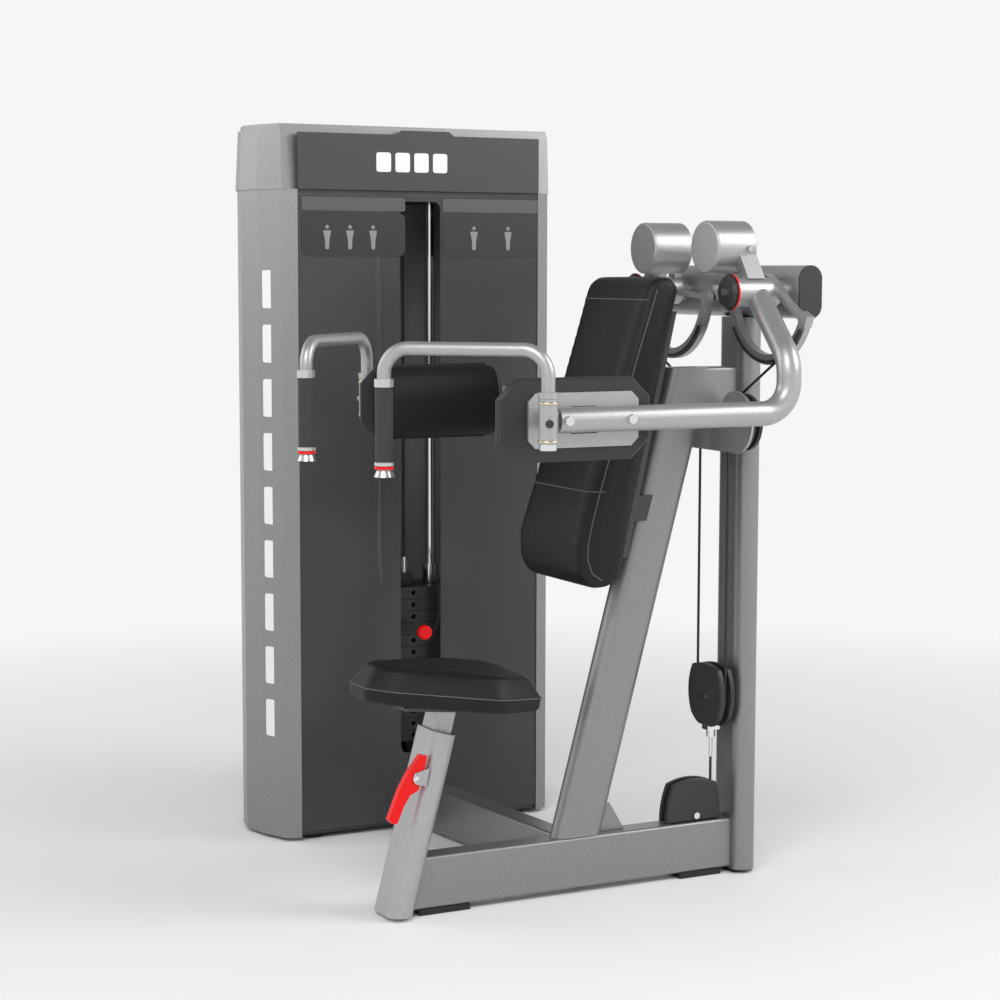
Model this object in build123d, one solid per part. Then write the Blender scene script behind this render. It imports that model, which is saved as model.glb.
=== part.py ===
from build123d import *
import math
import os

os.makedirs("parts", exist_ok=True)

# Lateral raise machine. The user faces -Y, the weight tower stands on the -X side, Z is up, mm.
# Work is drawn with X = 0 on the mid-plane of the user unit, then moved by SHIFT_X, SHIFT_Y.
SHIFT_X = 221.5
SHIFT_Y = 93.3
WALL = 3.0
GAP = 0.5
RUN_FIT = 0.05
CABLE_R = 2.6

# tower
TOWER_X = -709.0
TOWER_Y = -102.0
TOWER_DEPTH = 272.0
BAY_Y0 = -379.0
BAY_Y1 = 175.0
COLUMN_OUT = 72.0
COLUMN_TOP = 1360.0
CAP_TOP = 1493.0
CAP_LIP = 4.0
CAP_LEAN = 7.0
SHIELD_T = 3.0
SLOT_Y0 = -150.0
SLOT_Y1 = -56.0
SLOT_Z0 = 166.0
SLOT_Z1 = 1338.0

# weight stack
STACK_X = -666.0
PLATE_X = 102.0
PLATE_Y = 240.0
PLATE_PITCH = 25.9
PLATE_GAP = 1.0
PLATE_COUNT = 13
TAKEN = 4
STACK_Z0 = 182.0
ROD_Y = 63.0
ROD_R = 11.0
HOLE_R = 5.0
PIN_ROW = 9

# frame tubes
TUBE = 50.0
OVAL = 100.0
RAIL_Z0 = 12.0
RAIL_Z1 = 111.0
RAIL_Y0 = -400.0
REAR_Y = 325.0
REAR_FACE = 300.0
COLUMN_SLOPE = 0.2697
COLUMN_Y = -39.0
POST_SLOPE = 0.2636
POST_Y = -425.0
POST_LONG = 348.0
BEAM_Z0 = 910.0
BEAM_Z1 = 1010.0
MEMBER_SKEW = 6.17
MEMBER_Y = -27.0

# arms
HUB_X = 175.0
HUB_Z = 1156.5
HUB_R = 27.5
SHAFT_R = 14.0
CAM_R = 131.0
CAM_Y = 276.0
CAM_T = 16.0
ARM_X = 330.0
ARM_Z = 940.0
ARM_R = 22.5
ARM_END = -259.0
SLEEVE_X = 385.0
SLEEVE_Y = -308.0
GRIP_X = 180.0
GRIP_Y = -519.6
HANDLE_TOP = 1063.0
HANDLE_R = 12.0
WEIGHT_X = 114.0
WEIGHT_Z = 1239.6

# cable sheaves
GUIDE_X = 100.0
GUIDE_Z = 907.0
GUIDE_R = 49.0
DROP_X = 51.0
DROP_Y = 266.0
BLOCK_Z = 357.0
RAIL_SHEAVE_R = 43.0
RAIL_SHEAVE_Z = 123.0
RAIL_CABLE_Z = 80.0
TURN_R = 40.0
TOWER_SHEAVE_R = 47.0
UP_X = -760.0
TOP_Z = 1400.0
LOW_Z = 127.0

# pads
PAD_TILT = 6.0
SEAT_Z = 397.0
SOFT_GAP = 0.4


def put(part, name):
    moved = Pos(SHIFT_X, SHIFT_Y, 0) * part
    moved.label = name
    export_step(moved, "parts/" + name + ".step")


def box(x0, x1, y0, y1, z0, z1):
    return Pos((x0 + x1) / 2, (y0 + y1) / 2, (z0 + z1) / 2) * Box(x1 - x0, y1 - y0, z1 - z0)


def rod(p, q, r):
    axis = Vector(*q) - Vector(*p)
    return Plane(origin=p, z_dir=axis) * extrude(Circle(r), axis.length)


def ring(p, q, r_in, r_out):
    axis = Vector(*q) - Vector(*p)
    return Plane(origin=p, z_dir=axis) * extrude(Circle(r_out) - Circle(r_in), axis.length)


def yz(points, x0, x1):
    face = make_face(Polyline(*[(0, y, z) for y, z in points], close=True))
    return Pos(x0, 0, 0) * extrude(face, x1 - x0, dir=(1, 0, 0))


def xz(points, y0, y1):
    face = make_face(Polyline(*[(x, 0, z) for x, z in points], close=True))
    return Pos(0, y0, 0) * extrude(face, y1 - y0, dir=(0, 1, 0))


def xy(points, z0, z1):
    face = make_face(Polyline(*[(x, y, 0) for x, y in points], close=True))
    return Pos(0, 0, z0) * extrude(face, z1 - z0, dir=(0, 0, 1))


def group(*shapes):
    solids = []
    for shape in shapes:
        solids.extend(shape.solids())
    return Compound(children=solids)


def mirrored(part):
    return mirror(part, about=Plane.YZ)


def bolt(p, direction, head_r, head_h, shank_r, shank):
    """Hexagon head with its seat at p, and a shank going the other way."""
    plane = Plane(origin=p, z_dir=direction)
    head = extrude(RegularPolygon(head_r, 6), head_h)
    stem = Pos(0, 0, -shank) * extrude(Circle(shank_r), shank)
    return plane * (head + stem)


def on_circle(x, z, r, degrees):
    turn = math.radians(degrees)
    return (x + r * math.cos(turn), z + r * math.sin(turn))


def sheave(pitch_r, width, bore_r):
    """Grooved wheel about the Z axis, centred on the origin."""
    rim = pitch_r + CABLE_R + 3.0
    half = width / 2
    wheel = extrude(Circle(rim) - Circle(bore_r), half, both=True)
    groove_r = pitch_r - CABLE_R - 0.3
    mouth = CABLE_R + 1.4
    throat = CABLE_R + 0.4
    points = [(groove_r, -throat), (rim + 1, -mouth), (rim + 1, mouth), (groove_r, throat)]
    face = make_face(Polyline(*[(r, 0, z) for r, z in points], close=True))
    return wheel - revolve(face, Axis.Z)


def wheel_at(p, axis, pitch_r, width, bore_r):
    return Plane(origin=p, z_dir=axis) * sheave(pitch_r, width, bore_r)


def tube_along(points, radius, r_out, r_in=0.0):
    path = FilletPolyline(*points, radius=radius)
    start = Plane(origin=path @ 0, z_dir=path % 0)
    outer = sweep(start * Circle(r_out), path=path)
    if r_in > 0:
        outer = outer - sweep(start * Circle(r_in), path=path)
    return outer


def oval(long, short):
    return SlotOverall(long, short)


# ---------------------------------------------------------------- tower
def column_points(inset):
    x0 = TOWER_X - TOWER_DEPTH / 2 + inset
    x1 = TOWER_X + TOWER_DEPTH / 2 - inset
    y_in = BAY_Y0 - inset
    y_mid = BAY_Y0 - 0.42 * COLUMN_OUT
    y_out = BAY_Y0 - COLUMN_OUT + inset
    return [
        (x0, y_in),
        (x0 + 14, y_mid),
        (TOWER_X - 60, y_out + 14),
        (TOWER_X, y_out),
        (TOWER_X + 60, y_out + 14),
        (x1 - 14, y_mid),
        (x1, y_in),
    ]


def rear_of_bay(part):
    mid_y = (BAY_Y0 + BAY_Y1) / 2
    return mirror(part, about=Plane(origin=(0, mid_y, 0), z_dir=(0, 1, 0)))


def tower_columns():
    shell = xy(column_points(0), 8, COLUMN_TOP)
    front = shell - xy(column_points(WALL), 8 + WALL, COLUMN_TOP - WALL)
    return group(front, rear_of_bay(front))


def tower_base():
    x0 = TOWER_X - TOWER_DEPTH / 2 + 8
    x1 = TOWER_X + TOWER_DEPTH / 2 - 8
    tray = box(x0, x1, BAY_Y0 + GAP, BAY_Y1 - GAP, 12, 46)
    pocket = box(x0 + WALL, x1 - WALL, BAY_Y0 + WALL, BAY_Y1 - WALL, 12, 46 - WALL)
    return tray - pocket


def cap_loft(inset, z0, z1):
    shapes = []
    for z in (z0, z1):
        shrink = inset + CAP_LEAN * (z - COLUMN_TOP) / (CAP_TOP - COLUMN_TOP) - CAP_LIP
        points = column_points(shrink)
        mid_y = (BAY_Y0 + BAY_Y1) / 2
        front = [(x, y) for x, y in points if y < BAY_Y0 - COLUMN_OUT * 0.3]
        back = [(x, 2 * mid_y - y) for x, y in reversed(front)]
        face = make_face(Polyline(*front, *back, close=True))
        shapes.append(Pos(0, 0, z) * face)
    return loft(shapes)


def tower_cap():
    outer = cap_loft(0, COLUMN_TOP, CAP_TOP - 10)
    crown = cap_loft(6, CAP_TOP - 10, CAP_TOP)
    hollow = cap_loft(WALL, COLUMN_TOP, CAP_TOP - 12)
    shell = outer + crown - hollow
    x_face = TOWER_X + TOWER_DEPTH / 2 - 3
    return shell - box(x_face, x_face + 20, BAY_Y0, BAY_Y1, COLUMN_TOP - 1, 1476)


def nameplate():
    x_face = TOWER_X + TOWER_DEPTH / 2 - 3 + GAP
    outline = [
        (BAY_Y0 + GAP, COLUMN_TOP),
        (BAY_Y1 - GAP, COLUMN_TOP),
        (BAY_Y1 - GAP, 1475),
        (-26, 1475),
        (-39, 1484),
        (-146, 1484),
        (-159, 1475),
        (BAY_Y0 + GAP, 1475),
    ]
    return yz(outline, x_face, x_face + 6)


def side_shield():
    x1 = TOWER_X + TOWER_DEPTH / 2 - 2
    sheet = box(x1 - SHIELD_T, x1, BAY_Y0 + GAP, BAY_Y1 - GAP, 20, COLUMN_TOP - GAP)
    opening = box(x1 - 9, x1 + 9, SLOT_Y0, SLOT_Y1, SLOT_Z0, SLOT_Z1)
    opening = fillet(opening.edges().filter_by(Axis.X), 16)
    return sheet - opening - member_cut(x1)


def member_cut(x1):
    y = MEMBER_Y + math.tan(math.radians(MEMBER_SKEW)) * x1
    return box(x1 - 9, x1 + 9, y - 30, y + 30, 10, 103)


def back_shield():
    x0 = TOWER_X - TOWER_DEPTH / 2 + 2
    return box(x0, x0 + SHIELD_T, BAY_Y0 + GAP, BAY_Y1 - GAP, 20, COLUMN_TOP - GAP)


def guide_rods():
    solids = []
    for side in (-1, 1):
        y = TOWER_Y + side * ROD_Y
        solids.append(rod((STACK_X, y, 46), (STACK_X, y, COLUMN_TOP - 20), ROD_R))
        foot = ring((STACK_X, y, 46), (STACK_X, y, STACK_Z0 - PLATE_GAP), ROD_R, 19)
        solids.append(foot)
    return group(*solids)


def rod_plate():
    """Head plate of the tower: it holds the rods' tops and the top sheave's cheeks."""
    x0 = TOWER_X - TOWER_DEPTH / 2 + 8
    x1 = TOWER_X + TOWER_DEPTH / 2 - 8
    plate = box(x0, x1, BAY_Y0 + GAP, BAY_Y1 - GAP, COLUMN_TOP - 20, COLUMN_TOP - 12)
    plate = plate - box(UP_X - 16, STACK_X + 16, TOWER_Y - 22, TOWER_Y + 22, 1300, 1400)
    top, top_turn = top_wheel()
    low, low_turn = low_wheel()
    return group(plate, *fork(top, top_turn, 1352 - TOP_Z), *fork(low, low_turn, 46 - LOW_Z))


def heading_plane(centre, turn):
    """Plane of an upright wheel: x along its heading, y up, z along its axle."""
    x_dir = (math.cos(turn), math.sin(turn), 0)
    z_dir = (math.sin(turn), -math.cos(turn), 0)
    return Plane(origin=centre, x_dir=x_dir, z_dir=z_dir)


def fork(centre, turn, foot):
    plane = heading_plane(centre, turn)
    top = 18
    pieces = []
    for side in (-1, 1):
        cheek = Pos(0, (top + foot) / 2, side * 11) * Box(44, top - foot, 4)
        pieces.append(plane * cheek)
    pieces.append(plane * (Pos(0, 0, -9) * extrude(Circle(6), 18)))
    return pieces


def stack_plate(row, count):
    z0 = STACK_Z0 + row * PLATE_PITCH
    z1 = z0 + count * PLATE_PITCH - PLATE_GAP
    x0 = STACK_X - PLATE_X / 2
    y0 = TOWER_Y - PLATE_Y / 2
    plate = box(x0, x0 + PLATE_X, y0, y0 + PLATE_Y, z0, z1)
    plate = fillet(plate.edges().filter_by(Axis.Z), 6)
    for side in (-1, 1):
        y = TOWER_Y + side * ROD_Y
        plate = plate - rod((STACK_X, y, z0 - 1), (STACK_X, y, z1 + 1), ROD_R + 1.2)
    hole_z = z0 + (PLATE_PITCH - PLATE_GAP) / 2
    front = x0 + PLATE_X
    plate = plate - rod((front - 60, TOWER_Y, hole_z), (front + 1, TOWER_Y, hole_z), HOLE_R)
    return plate


def lower_plates():
    return group(*[stack_plate(row, 1) for row in range(PLATE_COUNT - TAKEN)])


def stack_head():
    solids = []
    for row in range(PLATE_COUNT - TAKEN, PLATE_COUNT):
        plate = stack_plate(row, 1)
        if row < PLATE_COUNT - 1:
            z = STACK_Z0 + row * PLATE_PITCH
            plate = plate + box(STACK_X - 12, STACK_X + 12, TOWER_Y - 12, TOWER_Y + 12, z + 20, z + PLATE_PITCH)
        solids.append(plate)
    top = STACK_Z0 + PLATE_COUNT * PLATE_PITCH - PLATE_GAP
    for side in (-1, 1):
        y = TOWER_Y + side * ROD_Y
        solids.append(ring((STACK_X, y, top), (STACK_X, y, top + 42), ROD_R + 0.6, 17))
    solids.append(box(STACK_X - 15, STACK_X + 15, TOWER_Y - 15, TOWER_Y + 15, top, top + 26))
    solids.append(rod((STACK_X, TOWER_Y, top + 26), (STACK_X, TOWER_Y, top + 60), 8))
    return group(*solids)


def pin_height():
    return STACK_Z0 + PIN_ROW * PLATE_PITCH + (PLATE_PITCH - PLATE_GAP) / 2


def selector_pin():
    z = pin_height()
    front = STACK_X + PLATE_X / 2
    pin = rod((front - 56, TOWER_Y, z), (front + 52, TOWER_Y, z), HOLE_R - 0.3)
    knob = rod((front + 52, TOWER_Y, z), (front + 64, TOWER_Y, z), 15.5)
    knob = fillet(knob.edges().sort_by(Axis.X)[-1], 4)
    collar = rod((front + 38, TOWER_Y, z), (front + 52, TOWER_Y, z), 8)
    return pin + collar + knob


def pin_lanyard():
    z = pin_height()
    front = STACK_X + PLATE_X / 2
    x = front + 58
    points = [
        (front + 6, TOWER_Y + 34, 600),
        (x - 6, TOWER_Y + 34, 540),
        (x, TOWER_Y + 36, z + 34),
        (x, TOWER_Y + 20.5, z),
    ]
    return tube_along(points, 12, 4.0)


# ---------------------------------------------------------------- frame
def hollow_box(x0, x1, y0, y1, z0, z1, axis):
    outer = box(x0, x1, y0, y1, z0, z1)
    outer = fillet(outer.edges().filter_by(axis), 6)
    sx = 0 if axis == Axis.X else WALL
    sy = 0 if axis == Axis.Y else WALL
    inner = box(x0 + sx, x1 - sx, y0 + sy, y1 - sy, z0 + WALL, z1 - WALL)
    return outer - inner


def base_rail():
    tube = hollow_box(-TUBE / 2, TUBE / 2, RAIL_Y0, REAR_FACE - GAP, RAIL_Z0, RAIL_Z1, Axis.Y)
    front = box(-TUBE / 2 + 1, TUBE / 2 - 1, RAIL_Y0 - 3, RAIL_Y0, RAIL_Z0 + 1, RAIL_Z1 - 1)
    window = box(-16.5, 16.5, 168, 278, RAIL_CABLE_Z - 20, RAIL_Z1 + 1)
    side = box(-TUBE / 2 - 1, -TUBE / 2 + WALL + 1, -54, 60, RAIL_CABLE_Z - 8, RAIL_CABLE_Z + 8)
    front_cut = leaning_post_body(POST_Y, POST_SLOPE, 0, 200, OVAL, TUBE)
    return tube + front - window - side - front_cut


def cross_member():
    x_end = TOWER_X + TOWER_DEPTH / 2 + GAP
    length = (-TUBE / 2 - x_end) / math.cos(math.radians(MEMBER_SKEW)) + 12
    tube = hollow_box(-length / 2, length / 2, -TUBE / 2, TUBE / 2, 6, 100, Axis.X)
    mid_x = (x_end - TUBE / 2) / 2
    mid_y = MEMBER_Y + math.tan(math.radians(MEMBER_SKEW)) * mid_x
    tube = Pos(mid_x, mid_y, 0) * Rot(0, 0, MEMBER_SKEW) * tube
    tube = tube - box(-TUBE / 2 - GAP / 10, 60, -200, 200, 0, 200)
    tube = tube - box(x_end - 60, x_end, -300, 200, 0, 200)
    turn = Pos(-TURN_R, cable_turn_y(), RAIL_CABLE_Z) * extrude(Circle(TURN_R + 8), 8, both=True)
    return tube - turn


def cable_turn_y():
    return MEMBER_Y + TURN_R * math.tan(math.radians((90 - MEMBER_SKEW) / 2))


def floor_feet():
    feet = []
    for y0, y1 in ((-382, -278), (184, 277)):
        feet.append(box(-24, 24, y0, y1, 0, RAIL_Z0))
    for y in (BAY_Y0 + 40, BAY_Y1 - 40):
        for x in (TOWER_X - 95, TOWER_X + 95):
            feet.append(rod((x, y, 0), (x, y, 12), 22))
    for y in (BAY_Y0 - 30, BAY_Y1 + 30):
        feet.append(rod((TOWER_X, y, 0), (TOWER_X, y, 8), 18))
    feet.append(box(-30, 30, 302, 348, 0, 8))
    return group(*feet)


def leaning_plane(y, z, slope):
    """Plane whose normal runs up a post that leans back by slope, its x along X."""
    return Plane(origin=(0, y, z), x_dir=(1, 0, 0), z_dir=(0, slope, 1))


def leaning_post_body(y, slope, start, length, long, short):
    plane = leaning_plane(y, 8, slope)
    return plane * (Pos(0, 0, start) * extrude(oval(long, short), length))


def seat_post():
    outer = leaning_post_body(POST_Y, POST_SLOPE, -20, POST_LONG + 20, OVAL, TUBE)
    inner = leaning_post_body(POST_Y, POST_SLOPE, 30, POST_LONG, OVAL - 2 * WALL, TUBE - 2 * WALL)
    collar = leaning_post_body(POST_Y, POST_SLOPE, POST_LONG - 24, 20, OVAL - 2 * WALL, TUBE - 2 * WALL)
    bore = leaning_plane(POST_Y, 8, POST_SLOPE) * (Pos(0, 0, POST_LONG / 2) * Box(58, 37, POST_LONG * 2))
    post = outer - inner + (collar - bore)
    post = post - box(-200, 200, -600, 0, -60, 8)
    core = leaning_post_body(POST_Y, POST_SLOPE, 0, POST_LONG, OVAL - 2 * WALL, TUBE - 2 * WALL)
    for x in (33.0, 50.2):
        tab = yz([(-386, 254), (-402, 258), (-408, 268), (-404, 279), (-374, 286), (-382, 250)], x, x + 2.6)
        post = post + (tab - core)
    return post


def lever_pin():
    return rod((31, -401, 270), (55, -401, 270), 4)


def leaning_body(grow, wall=0.0):
    """The leaning column's oval, long side front to back, along its whole axis."""
    plane = leaning_plane(COLUMN_Y, 119, COLUMN_SLOPE)
    section = Rot(0, 0, 90) * oval(OVAL + grow - 2 * wall, TUBE + grow - 2 * wall)
    return plane * (Pos(0, 0, -60) * extrude(section, 1060))


def leaning_column():
    outer = leaning_body(0)
    tube = outer - leaning_body(0, WALL)
    tube = tube - box(-100, 100, -300, 500, 0, RAIL_Z1 + GAP / 10) - box(-100, 100, -300, 500, BEAM_Z1, 1300)
    cap = outer.intersect(box(-100, 100, 0, 400, BEAM_Z1 - WALL, BEAM_Z1))
    gusset = yz([(4, 112), (66, 112), (34, 166), (22, 166)], -4, 4)
    return tube + cap + (gusset - outer)


def upper_beam():
    beam = hollow_box(-TUBE / 2, TUBE / 2, 150, REAR_FACE - GAP / 10, BEAM_Z0, BEAM_Z1, Axis.Y)
    plane = leaning_plane(COLUMN_Y, 119, COLUMN_SLOPE)
    ahead = plane * (Pos(0, 25 - 150, 500) * Box(200, 300, 2000))
    return beam - leaning_body(0.2) - ahead


def rear_column():
    tube = Pos(0, REAR_Y, 8) * extrude(oval(OVAL, TUBE) - oval(OVAL - 2 * WALL, TUBE - 2 * WALL), 1098)
    return tube


def crossbar():
    plane = Plane(origin=(-232, REAR_Y, HUB_Z), x_dir=(0, 0, 1), z_dir=(1, 0, 0))
    bar = plane * extrude(oval(OVAL, TUBE) - oval(OVAL - 2 * WALL, TUBE - 2 * WALL), 464)
    bar = bar + box(-46, 46, 288, REAR_FACE + 1, HUB_Z - 18, HUB_Z + 18)
    for side in (-1, 1):
        x = side * HUB_X
        y = CAM_Y + CAM_T / 2 + GAP
        bar = bar + rod((x, y, HUB_Z), (x, REAR_FACE + 1, HUB_Z), 21.5)
        bar = bar + rod((x, 190.5, HUB_Z), (x, y, HUB_Z), SHAFT_R)
    caps = []
    for start in (-4, 464):
        caps.append(plane * (Pos(0, 0, start) * extrude(oval(OVAL, TUBE), 4)))
    bolts = []
    for x in (-24, 24):
        bolts.append(bolt((x, 288, HUB_Z), (0, -1, 0), 9, 6, 5, 0.01))
    return group(bar, *caps, *bolts)


def guide_pulley_plate():
    lobes = None
    for side in (-1, 1):
        disc = rod((side * GUIDE_X, 248, GUIDE_Z), (side * GUIDE_X, 253, GUIDE_Z), 60)
        lobes = disc if lobes is None else lobes + disc
    web = box(-GUIDE_X, GUIDE_X, 248, 253, GUIDE_Z - 59, BEAM_Z0 - GAP)
    plate = lobes + web
    axles = []
    for side in (-1, 1):
        x = side * GUIDE_X
        axles.append(rod((x, 253, GUIDE_Z), (x, 286, GUIDE_Z), 6))
        axles.append(bolt((x, 248, GUIDE_Z), (0, -1, 0), 9, 6, 5, 0.01))
    back = box(-GUIDE_X - 20, GUIDE_X + 20, 286, 291, GUIDE_Z - 26, GUIDE_Z + 26)
    back = back - box(-TUBE / 2 - GAP, TUBE / 2 + GAP, 280, 300, BEAM_Z0 - GAP, BEAM_Z1)
    foot = box(-24, 24, 291, REAR_FACE - GAP / 10, GUIDE_Z - 26, BEAM_Z0 - GAP)
    plate = plate - box(-TUBE / 2 - GAP, TUBE / 2 + GAP, 240, 260, BEAM_Z0 - GAP, BEAM_Z1)
    return group(plate, *axles, back + foot)


def soft_outline(corners, bulge):
    """Closed wire through the corners; each side is an arc that stands out by its bulge."""
    edges = []
    count = len(corners)
    for i in range(count):
        a = Vector(*corners[i])
        b = Vector(*corners[(i + 1) % count])
        side = b - a
        if bulge[i] == 0:
            edges.append(Line(a, b))
        else:
            out = Vector(side.Y, -side.X).normalized() * bulge[i]
            edges.append(ThreePointArc(a, (a + b) * 0.5 + out, b))
    return make_face(Wire(edges))


def pulley_housing():
    corners = [(157, 112), (278, 112), (270, 186), (172, 186)]
    face = soft_outline(corners, (0, 4, 10, 4))
    halves = []
    for x0, x1, direction in ((6.4, 17.5, 1), (-17.5, -6.4, -1)):
        plane = Plane(origin=(x0, 0, 0), x_dir=(0, 1, 0), z_dir=(1, 0, 0))
        half = plane * extrude(face, x1 - x0)
        outer = half.faces().sort_by(Axis.X)[-1 if direction > 0 else 0]
        halves.append(fillet(outer.edges(), 3.5))
    axle = rod((-6.4, 223, RAIL_SHEAVE_Z), (6.4, 223, RAIL_SHEAVE_Z), 6)
    heads = [
        bolt((17.5, 223, RAIL_SHEAVE_Z), (1, 0, 0), 7, 4, 5, 0.01),
        bolt((-17.5, 223, RAIL_SHEAVE_Z), (-1, 0, 0), 7, 4, 5, 0.01),
    ]
    return group(*halves, axle, *heads)


def back_bracket():
    block = yz([(24, 718), (22, 767), (110, 767), (96, 718)], -30, 30)
    return block - leaning_body(0.2) - back_pad_solid() - back_board()


def rear_line(z):
    return 22 + (z - 767) * 0.2254


def back_board():
    points = [
        (rear_line(660), 660),
        (rear_line(1120), 1120),
        (rear_line(1120) + 12, 1120),
        (rear_line(660) + 12, 660),
    ]
    return yz(points, -105, 105)


def back_pad_solid():
    points = [
        (36, 1142),
        (46, 1170),
        (64, 1185),
        (92, 1186),
        (rear_line(1172) - SOFT_GAP, 1172),
        (rear_line(640) - SOFT_GAP, 640),
        (-14, 618),
        (-36, 606),
        (-62, 604),
        (-86, 613),
        (-100, 634),
        (-105, 662),
        (-103, 692),
        (-92, 735),
        (-75.5, 788.5),
    ]
    return yz(points, -125, 125)


# ---------------------------------------------------------------- cables
def cam_tangent():
    """Angles of the crossed tangent from the cam down to the guide sheave."""
    dx = GUIDE_X - HUB_X
    dz = GUIDE_Z - HUB_Z
    far = math.hypot(dx, dz)
    lean = math.degrees(math.asin((CAM_R + GUIDE_R) / far))
    return math.degrees(math.atan2(dz, dx)) - lean + 90


def on3(x, z, r, degrees, y):
    px, pz = on_circle(x, z, r, degrees)
    return (px, y, pz)


def cable(path):
    start = Plane(origin=path @ 0, z_dir=path % 0)
    return sweep(start * Circle(CABLE_R), path=path)


def upper_run():
    """Cable from the cam to the guide sheave and a quarter way round it."""
    leave = cam_tangent()
    a = on3(HUB_X, HUB_Z, CAM_R, leave, DROP_Y)
    b = on3(GUIDE_X, GUIDE_Z, GUIDE_R, leave + 180, DROP_Y)
    line = Line(a, b)
    arc = ThreePointArc(b, on3(GUIDE_X, GUIDE_Z, GUIDE_R, (leave + 360) / 2, DROP_Y), (DROP_X, DROP_Y, GUIDE_Z))
    return cable(Wire([line, arc]))


def cam_cable():
    leave = cam_tangent()
    start = -31.0
    end = leave - 88
    a = on3(HUB_X, HUB_Z, CAM_R, start, DROP_Y)
    b = on3(HUB_X, HUB_Z, CAM_R, end, DROP_Y)
    return cable(Wire([ThreePointArc(a, on3(HUB_X, HUB_Z, CAM_R, (start + end) / 2, DROP_Y), b)]))


def low_wheel():
    """Centre and heading of the sheave at the foot of the tower."""
    skew = math.radians(MEMBER_SKEW)
    x = UP_X + TOWER_SHEAVE_R * math.cos(skew)
    return (x, MEMBER_Y + math.tan(skew) * x, LOW_Z), skew


def up_run_y():
    centre, skew = low_wheel()
    return centre[1] - TOWER_SHEAVE_R * math.sin(skew)


def top_wheel():
    up_y = up_run_y()
    turn = math.atan2(TOWER_Y - up_y, STACK_X - UP_X)
    return ((UP_X + STACK_X) / 2, (up_y + TOWER_Y) / 2, TOP_Z), turn


def low_cable():
    """One cable from the rail sheave under the frame, up the tower and over its top sheave."""
    up_y = up_run_y()
    rail_y = DROP_Y - RAIL_SHEAVE_R
    points = [
        (0, DROP_Y, RAIL_SHEAVE_Z),
        (0, rail_y, RAIL_CABLE_Z),
        (0, MEMBER_Y, RAIL_CABLE_Z),
        (UP_X, up_y, RAIL_CABLE_Z),
        (UP_X, up_y, TOP_Z),
    ]
    half = math.sqrt(0.5)
    quarter = ThreePointArc(
        points[0],
        (0, rail_y + RAIL_SHEAVE_R * half, RAIL_SHEAVE_Z - RAIL_SHEAVE_R * half),
        points[1],
    )
    skew = math.radians(MEMBER_SKEW)
    trim = TURN_R * math.tan(math.radians((90 - MEMBER_SKEW) / 2))
    turn_a = (0, MEMBER_Y + trim, RAIL_CABLE_Z)
    turn_b = (-trim * math.cos(skew), MEMBER_Y - trim * math.sin(skew), RAIL_CABLE_Z)
    turn_mid_angle = math.radians(-(90 - MEMBER_SKEW) / 2)
    turn_mid = (-TURN_R + TURN_R * math.cos(turn_mid_angle), turn_a[1] + TURN_R * math.sin(turn_mid_angle), RAIL_CABLE_Z)
    low = low_wheel()[0]
    low_a = (low[0], low[1], RAIL_CABLE_Z)
    low_b = (UP_X, up_y, RAIL_CABLE_Z + TOWER_SHEAVE_R)
    low_mid = (
        low[0] - TOWER_SHEAVE_R * half * math.cos(skew),
        low[1] - TOWER_SHEAVE_R * half * math.sin(skew),
        RAIL_CABLE_Z + TOWER_SHEAVE_R * (1 - half),
    )
    top_a = (UP_X, up_y, TOP_Z)
    top_b = (STACK_X, TOWER_Y, TOP_Z)
    top_r = math.hypot(STACK_X - UP_X, TOWER_Y - up_y) / 2
    top_mid = ((UP_X + STACK_X) / 2, (up_y + TOWER_Y) / 2, TOP_Z + top_r)
    edges = [
        quarter,
        Line(points[1], turn_a),
        ThreePointArc(turn_a, turn_mid, turn_b),
        Line(turn_b, low_a),
        ThreePointArc(low_a, low_mid, low_b),
        Line(low_b, top_a),
        ThreePointArc(top_a, top_mid, top_b),
    ]
    return cable(Wire(edges))


def stack_rope():
    top = STACK_Z0 + PLATE_COUNT * PLATE_PITCH - PLATE_GAP + 60 + GAP
    return rod((STACK_X, TOWER_Y, top), (STACK_X, TOWER_Y, TOP_Z), CABLE_R)


def block_rope():
    return rod((0, DROP_Y, RAIL_SHEAVE_Z), (0, DROP_Y, 235 - GAP), CABLE_R)


def guide_ropes():
    ropes = []
    for x in (-DROP_X, DROP_X):
        ropes.append(rod((x, DROP_Y, BLOCK_Z), (x, DROP_Y, GUIDE_Z), CABLE_R))
    return group(*ropes)


def floating_block():
    corners = [(-22, 299), (22, 299), (50, 318), (47, 416), (-47, 416), (-50, 318)]
    face = soft_outline(corners, (0.6, 2, 13, 7, 13, 2))
    halves = []
    for y0, y1, outer_end in ((249, 259.6, 0), (272.4, 283, -1)):
        plane = Plane(origin=(0, y1, 0), x_dir=(1, 0, 0), z_dir=(0, -1, 0))
        half = plane * extrude(face, y1 - y0)
        outer = half.faces().sort_by(Axis.Y)[outer_end]
        halves.append(fillet(outer.edges(), 3.5))
    axle = rod((0, 259.6, BLOCK_Z), (0, 272.4, BLOCK_Z), 6)
    bridge = box(-11, 11, 252, 280, 290, 299.2)
    neck = rod((0, DROP_Y, 275), (0, DROP_Y, 290.1), 9)
    stem = rod((0, DROP_Y, 235), (0, DROP_Y, 275), 3.5)
    head = bolt((0, 249, BLOCK_Z), (0, -1, 0), 7, 4, 5, 0.01)
    low = (0, DROP_Y, BLOCK_Z - DROP_X)
    wrap = cable(Wire([ThreePointArc((-DROP_X, DROP_Y, BLOCK_Z), low, (DROP_X, DROP_Y, BLOCK_Z))]))
    return group(halves[0] + bridge + halves[1] + neck + stem + axle, head, wrap)


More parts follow.
